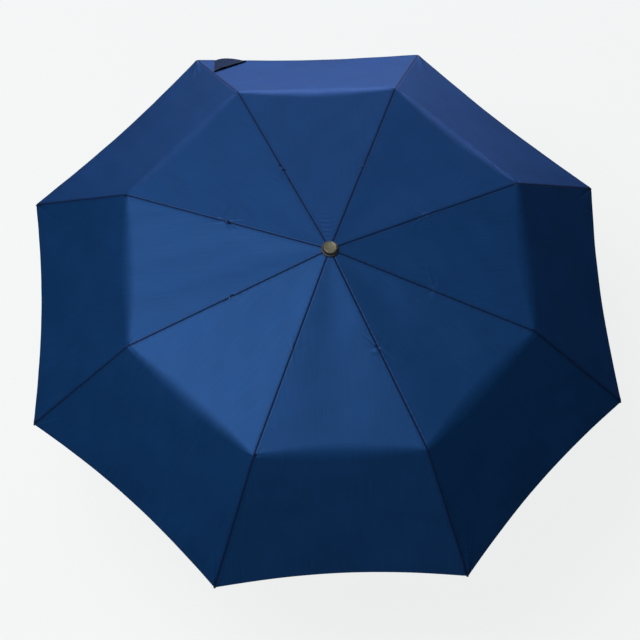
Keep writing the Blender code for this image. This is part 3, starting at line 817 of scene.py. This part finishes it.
def stitches(name, lines, spacing=3 * MM, length=2.3 * MM, thread=0.24 * MM):
    """A mesh of stitches along some lines of points."""
    points = [tuple(p) for line in lines for p in line]
    edges = []
    start = 0
    for line in lines:
        edges += [(start + i, start + i + 1) for i in range(len(line) - 1)]
        start += len(line)
    guide = bpy.data.meshes.new(name + "_guide")
    guide.from_pydata(points, edges, [])
    thing = bpy.data.objects.new(name + "_guide", guide)
    bpy.context.scene.collection.objects.link(thing)
    step = thing.modifiers.new("stitches", "NODES")
    step.node_group = STITCH_TREE
    values = {"Spacing": spacing, "Length": length, "Thread": thread, "Material": THREAD}
    for key, value in values.items():
        step[STITCH_INPUTS[key]] = value
    bpy.context.view_layer.update()
    graph = bpy.context.evaluated_depsgraph_get()
    mesh = bpy.data.meshes.new_from_object(thing.evaluated_get(graph))
    mesh.name = name
    bpy.data.objects.remove(thing, do_unlink=True)
    bpy.data.meshes.remove(guide)
    return mesh


def seam_stitches(rib, section):
    """Two rows of stitches inside, along the seam's allowance."""
    start, end, body = SEAM_RUNS[section]
    lines = []
    for y in (-2.3 * MM, 2.3 * MM):
        lines.append([over_rib(rib, u, y, -0.6 * MM)
                      for u in np.linspace(start + 2 * MM, end - 2 * MM, 30)])
    name = f"stitches_{rib}_{section}"
    return add_piece(name, stitches(name, lines), None, f"{body}_{rib}")


def knot(rib, u):
    """A hand-sewn tie on the outside of the seam: a few turns of thread in a small lump."""
    name = f"knot_{rib}_top"
    lines = []
    for k in range(5):
        shift = (k - 2) * 0.42 * MM
        width = (1.7 - 0.25 * abs(k - 2)) * MM
        lines.append([over_rib(rib, u + shift + 0.3 * MM * sin(3 * k + t), width * t,
                               0.32 * MM * cos(1.4 * t) - 0.1 * MM) for t in (-1, -0.5, 0, 0.5, 1)])
    mesh = stitches(name, lines, 0.5 * MM, 0.9 * MM, 0.42 * MM)
    return add_piece(name, mesh, None, f"top_rib_{rib}")


def hem_stitches(gore, hand):
    """The row that holds the double-folded hem, on the outside of the cloth."""
    share = np.linspace(0.012, 0.5, 60)
    hem = fold_lines(share)[4]
    s = share if hand > 0 else 1 - share
    rib = gore if hand > 0 else gore % RIB_COUNT + 1
    u = hem - HEM_WIDTH + 0.9 * MM
    normal = normals_of(cloth_surface, gore, s, u, 0.0008, 0.25 * MM)
    points = cloth_surface(gore, s, u) + normal * (CLOTH / 2 + 0.02 * MM)
    name = f"hem_stitches_{gore}_{'a' if hand > 0 else 'b'}"
    thing = add_piece(name, stitches(name, [points]), None, f"outer_rib_{rib}")
    fold_away(thing)


for rib in range(1, RIB_COUNT + 1):
    for section in SEAM_RUNS:
        nest(seam(rib, section), section)
        if section != "knee":
            nest(seam_stitches(rib, section), section)
    nest(knot(rib, U_FIRST - 1.8 * MM), "top")
for gore in range(1, RIB_COUNT + 1):
    for hand in (1, -1):
        hem_stitches(gore, hand)


# ---- closing strap --------------------------------------------------------------------------
def facet_frame():
    """Origin and axes of the outer facet beside rib 3, towards rib 2: along the hem, uphill, out."""
    near, far = rib_angle(3), rib_angle(2)
    tips, knees = ([Vector((r * cos(a), r * sin(a), z)) for a in (near, far)]
                   for r, z in (CLOTH_TIP, CLOTH_KNEE))
    aside = (tips[1] - tips[0]).normalized()
    uphill = ((knees[0] + knees[1]) / 2 - (tips[0] + tips[1]) / 2).normalized()
    out = aside.cross(uphill)
    return tips[0], aside, uphill, out if out.z > 0 else -out


def strap():
    """The closing strap, sewn into the seam beside rib 3 and folded over the hem in a triangle."""
    origin, aside, uphill, out = facet_frame()
    corner_in = Vector((29, 84))         # on the seam, in mm along the hem and uphill
    corner_hem = Vector((31, 13))
    point = Vector((82, 20))
    rows, columns = 24, 30
    lift = np.zeros((rows + 1, columns + 1))
    spots = np.zeros((rows + 1, columns + 1, 3))
    for i in range(rows + 1):
        q = i / rows                     # 0 at the piped edge, 1 at the edge over the hem
        for j in range(columns + 1):
            p = j / columns              # 0 at the seam, 1 at the far corner
            left = corner_in.lerp(corner_hem, q)
            flat = left.lerp(point, p)
            belly = sin(pi * min(1, p * 1.05 + 0.02)) ** 0.8
            flat.y -= 19 * q ** 3 * sin(pi * p ** 0.75) ** 0.8
            fold = 1.7 * sin(5.5 * p + 7 * q) + 1.0 * sin(11 * p - 9 * q)
            rise = 1.0 + 4.2 * belly * sin(pi * min(1, q * 0.9 + 0.08))
            rise += fold * belly * (1 - p) - 3.2 * q ** 4
            spots[i, j] = origin + (aside * flat.x + uphill * flat.y + out * max(rise, 0.7)) * MM
            lift[i, j] = rise
    du = np.gradient(spots, axis=0)
    dv = np.gradient(spots, axis=1)
    normal = np.cross(du, dv)
    normal /= np.maximum(np.linalg.norm(normal, axis=-1, keepdims=True), 1e-12)
    if (normal @ np.array(out)).mean() < 0:
        normal = -normal
    normal[:, -1] = normal[:, -2]
    thick = np.full(lift.shape, 0.9 * MM)
    mesh = sheet_mesh("closing_strap", spots, normal, thick, spots[..., :2], lift * 0)
    thing = add_piece("closing_strap", mesh, STRAP_CLOTH, "outer_rib_3", smooth=False)
    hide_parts("closure_strap")
    FLAGGED.objects.link(thing)
    fold_away(thing)
    edge = [Vector(spots[0, j]) + Vector(normal[0, j]) * 0.3 * MM
            for j in range(0, columns + 1, 2)]
    rim = [Vector(spots[i, 0]) + Vector(normal[i, 0]) * 0.2 * MM for i in range(0, rows + 1, 2)]
    for name, line, radius in (("strap_piping", edge, 1.25 * MM), ("strap_tack", rim, 0.8 * MM)):
        pipe = add_piece(name, tube_along(name, line, radius), STRAP_EDGE, "outer_rib_3")
        fold_away(pipe)


def tube_along(name, line, radius, sides=10):
    """A round rod with domed ends through some points."""
    rings = []
    count = len(line)
    for i, spot in enumerate(line):
        way = (line[min(i + 1, count - 1)] - line[max(i - 1, 0)]).normalized()
        side = way.orthogonal() if i == 0 else side - way * side.dot(way)
        side.normalize()
        other = way.cross(side)
        ring = [spot + radius * (cos(2 * pi * k / sides) * side + sin(2 * pi * k / sides) * other)
                for k in range(sides)]
        if i in (0, count - 1):
            push = -way if i == 0 else way
            caps = [[spot + push * radius * sin(a) + (p - spot) * cos(a) for p in ring]
                    for a in (radians(85), radians(60), radians(30))]
            rings += caps + [ring] if i == 0 else [ring] + caps[::-1]
        else:
            rings.append(ring)
    return swept(name, rings)


strap()


# ---- turned and moulded pieces --------------------------------------------------------------
def rounded(outline, radii, steps=4):
    """An outline whose corners are rounded by curves of the given sizes, 0 for a sharp one."""
    points = []
    count = len(outline)
    for i, (spot, radius) in enumerate(zip(outline, radii)):
        here = Vector(spot)
        before = Vector(outline[i - 1]) - here
        after = Vector(outline[(i + 1) % count]) - here
        if radius == 0:
            points.append(here)
            continue
        start = here + before.normalized() * min(radius, before.length * 0.45)
        end = here + after.normalized() * min(radius, after.length * 0.45)
        for k in range(steps + 1):
            t = k / steps
            points.append((1 - t) ** 2 * start + 2 * t * (1 - t) * here + t ** 2 * end)
    return points


def turned_mesh(name, outline, sides=96):
    """An outline of (radius, height) turned round Z; points on the axis become poles."""
    count = len(outline)
    points = []
    for k in range(sides):
        turn = 2 * pi * k / sides
        points += [(r * cos(turn), r * sin(turn), z) for r, z in outline]
    faces = []
    for k in range(sides):
        other = (k + 1) % sides
        for j in range(count):
            nxt = (j + 1) % count
            faces.append((k * count + j, other * count + j, other * count + nxt, k * count + nxt))
    mesh = bpy.data.meshes.new(name)
    mesh.from_pydata(points, [], faces)
    bm = bmesh.new()
    bm.from_mesh(mesh)
    bmesh.ops.remove_doubles(bm, verts=bm.verts, dist=MERGE)
    bmesh.ops.dissolve_degenerate(bm, edges=bm.edges, dist=MERGE / 2)
    bmesh.ops.recalc_face_normals(bm, faces=bm.faces)
    bm.to_mesh(mesh)
    bm.free()
    mesh.shade_smooth()
    mesh.set_sharp_from_angle(angle=radians(40))
    return mesh


def replace_turned(node, outline, material, body, sides):
    """A turned piece in place of a CAD node."""
    thing = add_piece(node + "_turned", turned_mesh(node + "_turned", outline, sides),
                      material, body, smooth=False)
    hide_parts(node)
    return thing


def cap():
    """The flat plated disc on top, in its black rim, over the flange that clamps the cloth."""
    low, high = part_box("ferrule_cap")
    radius = high.x
    disc = rounded([(0, low.z), (radius, low.z), (radius, high.z), (radius - 1.3 * MM, high.z),
                    (radius - 1.6 * MM, high.z - 0.22 * MM), (0, high.z - 0.22 * MM)],
                   [0, 0.2 * MM, 0.5 * MM, 0.25 * MM, 0.15 * MM, 0])
    replace_turned("ferrule_cap", disc, GUNMETAL, "top_shaft", 128)
    low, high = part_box("cap_flange")
    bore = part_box("top_tube")[1].x + 0.3 * MM
    rim = radius + 1.1 * MM
    flange = rounded([(bore, low.z), (high.x, low.z), (high.x, low.z + 1.4 * MM),
                      (rim + 0.8 * MM, high.z - 1.0 * MM), (rim, high.z), (bore, high.z)],
                     [0.1 * MM, 0.5 * MM, 0.6 * MM, 0.4 * MM, 0.3 * MM, 0.1 * MM])
    FLAGGED.objects.link(replace_turned("cap_flange", flange, RIM_PLASTIC, "top_shaft",
                                        128))
    # a raised collar that frames the disc, part of the cap's own moulding
    base = high.z + 0.05 * MM
    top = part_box("ferrule_cap")[1].z - 0.5 * MM
    collar = rounded([(radius + 0.15 * MM, base), (rim + 0.5 * MM, base), (rim + 0.1 * MM, top),
                      (radius + 0.15 * MM, top)], [0.1 * MM, 0.4 * MM, 0.35 * MM, 0.2 * MM])
    ring = add_piece("cap_collar", turned_mesh("cap_collar", collar, 128), RIM_PLASTIC,
                     "top_shaft", smooth=False)
    FLAGGED.objects.link(ring)


def shaft():
    """Three drawn tubes with rolled ends."""
    wall = 0.45 * MM
    for node, body in (("lower_tube", "handle"), ("middle_tube", "middle_shaft"),
                       ("top_tube", "top_shaft")):
        low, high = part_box(node)
        r = high.x
        outline = rounded([(r, low.z), (r, high.z), (r - wall, high.z), (r - wall, low.z)],
                          [0.2 * MM] * 4, 3)
        replace_turned(node, outline, ALUMINIUM, body, 64)


def smooth_copy(node, material, body, bevel=0.12 * MM):
    """A CAD node again with merged points, softened edges and smooth faces."""
    mesh = frame["nodes"][node].data.copy()
    mesh.materials.clear()
    mesh.name = node + "_smooth"
    bm = bmesh.new()
    bm.from_mesh(mesh)
    bmesh.ops.remove_doubles(bm, verts=bm.verts, dist=MERGE)
    bmesh.ops.dissolve_limit(bm, angle_limit=radians(1), verts=bm.verts, edges=bm.edges)
    bm.to_mesh(mesh)
    bm.free()
    thing = add_piece(node + "_smooth", mesh, material, body, smooth=False)
    if bevel:
        step = thing.modifiers.new("soft_edges", "BEVEL")
        step.width = bevel
        step.segments = 2
        step.limit_method = "ANGLE"
        step.angle_limit = radians(50)
        graph = bpy.context.evaluated_depsgraph_get()
        softened = bpy.data.meshes.new_from_object(thing.evaluated_get(graph))
        thing.modifiers.clear()
        thing.data = softened
        softened.name = node + "_smooth"
    thing.data.shade_smooth()
    thing.data.set_sharp_from_angle(angle=radians(38))
    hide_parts(node)
    return thing


def handle():
    """A waisted grip with shallow finger rings, a button in its pocket and a flat end cap."""
    low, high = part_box("handle_grip")
    radius = high.x
    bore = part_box("lower_tube")[1].x + 0.3 * MM
    top, base = high.z, low.z
    button_low, button_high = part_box("push_button")
    button_z = (button_low.z + button_high.z) / 2
    pocket = (button_high.z - button_low.z) / 2 + 0.3 * MM
    outline = [(bore, top), (radius - 5.5 * MM, top)]
    for k in range(1, 9):
        turn = radians(90 - 10 * k)
        outline.append((radius - 5.5 * MM + 5.2 * MM * cos(turn),
                        top - 7 * MM + 7 * MM * sin(turn)))
    count = 90
    for k in range(count + 1):
        share = k / count
        z = top - 8 * MM - share * (top - 8 * MM - base - 3 * MM)
        waist = radius - 1.15 * MM + 0.95 * MM * cos(2 * pi * share * 0.98)
        ring = 0.6 * MM * max(0, cos(2 * pi * (z - base) / (4.2 * MM))) ** 2
        inside = (smooth_step(np.float64(share), 0.46, 0.52)
                  * (1 - smooth_step(np.float64(share), 0.9, 0.95)))
        outline.append((waist - ring * float(inside), z))
    outline += [(radius - 0.55 * MM, base + 2 * MM), (radius - 0.9 * MM, base + 0.4 * MM),
                (radius - 1.3 * MM, base), (bore, base)]
    grip = turned_mesh("handle_grip_moulded", outline, 96)
    thing = bpy.data.objects.new("handle_grip_moulded", grip)
    bpy.context.scene.collection.objects.link(thing)
    bm = bmesh.new()
    place = Matrix.Translation((0, -19 * MM, button_z)) @ Matrix.Rotation(pi / 2, 4, "X")
    bmesh.ops.create_cone(bm, cap_ends=True, segments=64, radius1=pocket, radius2=pocket,
                          depth=22 * MM, matrix=place)
    cutter_mesh = bpy.data.meshes.new("pocket")
    bm.to_mesh(cutter_mesh)
    bm.free()
    cutter = bpy.data.objects.new("pocket", cutter_mesh)
    bpy.context.scene.collection.objects.link(cutter)
    step = thing.modifiers.new("pocket", "BOOLEAN")
    step.operation = "DIFFERENCE"
    step.object = cutter
    bpy.context.view_layer.update()
    graph = bpy.context.evaluated_depsgraph_get()
    cut = bpy.data.meshes.new_from_object(thing.evaluated_get(graph))
    cut.name = "handle_grip_moulded"
    bpy.data.objects.remove(thing, do_unlink=True)
    bpy.data.objects.remove(cutter, do_unlink=True)
    cut.materials.clear()
    cut.shade_smooth()
    cut.set_sharp_from_angle(angle=radians(40))
    grip = add_piece("handle_grip_moulded", cut, SOFT_TOUCH, "handle", smooth=False)
    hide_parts("handle_grip")
    smooth_copy("handle_end_cap", NYLON, "handle", bevel=0)
    # the button: a shallow dish with a raised rim, turned and laid along Y
    reach = button_high.y - button_low.y
    r = (button_high.z - button_low.z) / 2
    outline = rounded([(0, 0), (r, 0), (r, reach), (r - 1.1 * MM, reach),
                       (r - 1.6 * MM, reach - 0.45 * MM), (0, reach - 0.7 * MM)],
                      [0, 0.2 * MM, 0.8 * MM, 0.3 * MM, 0.4 * MM, 0])
    mesh = turned_mesh("push_button_moulded", outline, 64)
    mesh.transform(Matrix.Translation((0, button_high.y, button_z))
                   @ Matrix.Rotation(pi / 2, 4, "X"))
    button = add_piece("push_button_moulded", mesh, BUTTON, "button", smooth=False)
    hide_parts("push_button")


def rib_tips():
    """Moulded tips: a round bead on each rod's end, waisted where the thread holds it."""
    start = OUTER_RIB_LENGTH - 7 * MM
    # (radius, distance along the rod) in mm: sleeve, waist, bead, then the bore for the rod
    outline = [(r * MM, z * MM) for r, z in (
        (1.45, 0), (1.7, 0.25), (1.7, 2.6), (1.35, 3.2), (1.35, 3.9), (1.75, 4.5), (2.2, 5.8),
        (2.15, 7.6), (1.7, 8.8), (0.9, 9.4), (0, 9.5), (0, 7.4), (1.2, 7.3), (1.2, 0))]
    for rib in range(1, RIB_COUNT + 1):
        name = f"rib_tip_{rib}_moulded"
        mesh = turned_mesh(name, outline, 32)
        turn = rib_angle(rib)
        way = in_space(rib, along(OUTER_SLOPE))
        side = np.array((-sin(turn), cos(turn), 0))
        out = in_space(rib, across(OUTER_SLOPE))
        spot = in_space(rib, KNEE_2 + KNEE_OFFSET * across(OUTER_SLOPE) + start * along(OUTER_SLOPE))
        turn_to = Matrix((out, side, way)).transposed().to_4x4()
        mesh.transform(Matrix.Translation(spot) @ turn_to)
        tidy_mesh(mesh)
        thing = add_piece(name, mesh, NYLON, f"outer_rib_{rib}")
        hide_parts(f"rib_tip_{rib}")


def ribs():
    """Ribs and stretchers keep their pressed shapes, with smooth faces."""
    kinds = (("top_rib", ZINC_STEEL, "zinc_steel"), ("middle_rib", ZINC_STEEL, "zinc_steel"),
             ("outer_rib", GLASS_FIBRE, "glass_fibre"), ("stretcher", ZINC_STEEL, "zinc_steel"))
    for rib in range(1, RIB_COUNT + 1):
        for kind, material, slot in kinds:
            smooth_copy(f"{kind}_{rib}", material, f"{kind}_{rib}", 0)


def springs():
    """The opening spring in two lengths, one for each slide, so that each closes up with its own."""
    low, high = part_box("opening_spring")
    middle = (low.z + high.z) / 2
    wire = 0.4 * MM
    radius = high.x - wire
    turns = 12
    steps = 20 * turns
    for name, body, joint, start, end in (
            ("opening_spring_lower", "handle", "lower_telescope", low.z + wire, middle),
            ("opening_spring_upper", "middle_shaft", "upper_telescope", middle, high.z - wire)):
        line = [Vector((radius * cos(2 * pi * turns * i / steps),
                        radius * sin(2 * pi * turns * i / steps),
                        start + (end - start) * i / steps)) for i in range(steps + 1)]
        coil = add_piece(name, tube_along(name, line, wire, 8), SPRING_STEEL, body)
        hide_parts("opening_spring")
        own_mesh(coil)


cap()
shaft()
handle()
rib_tips()
ribs()
smooth_copy("crown", NYLON, "top_shaft")
smooth_copy("runner", NYLON, "runner")
springs()


# ---- finish ---------------------------------------------------------------------------------
for entry in FLAGGED.collection_objects:
    entry.light_linking.link_state = "EXCLUDE"
